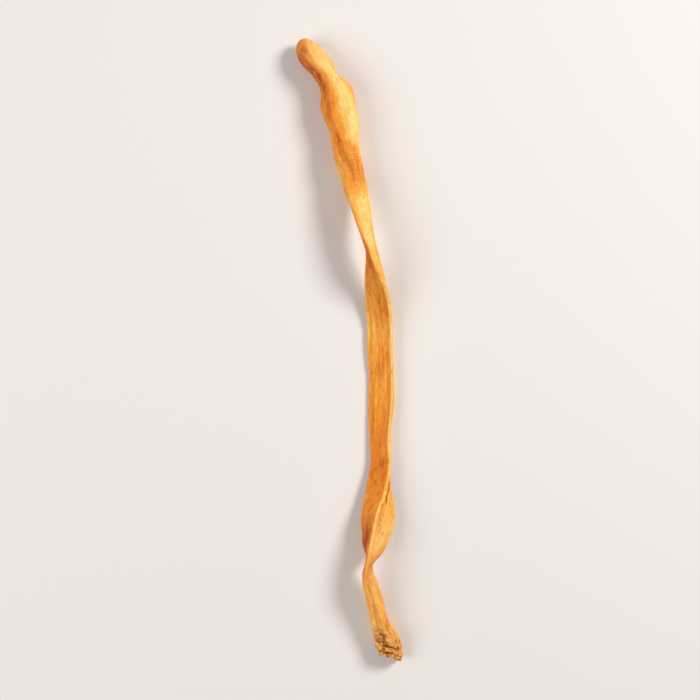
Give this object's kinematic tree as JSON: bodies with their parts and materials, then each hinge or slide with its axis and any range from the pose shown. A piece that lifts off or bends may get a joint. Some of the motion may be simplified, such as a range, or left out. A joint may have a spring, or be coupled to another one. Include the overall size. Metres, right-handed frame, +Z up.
{
  "type": "dried cordyceps fruiting body",
  "caption": "Dried orange cordyceps strand: swollen club, pale neck, twisted flat ribbon stem with a folded flap, narrow waist and torn base, lying down.",
  "frame": {"origin": "middle of the box round the strand as it lies, on the surface that it rests on", "axes": "+Y from the torn base towards the club's tip, +X to the right seen from above with the tip away from the viewer, +Z up off the surface"},
  "size_m": [0.0156, 0.0914, 0.0057],
  "materials": {
    "flesh": "matte, dry, wrinkled fungus flesh: deep orange faces with fine lengthwise streaks, paler yellow club, neck and ridges, tan tip, brown pitted base with short torn shreds, tan to cream"
  },
  "bodies": {
    "root": {"fruiting_body": "flesh"}
  },
  "joints": []
}
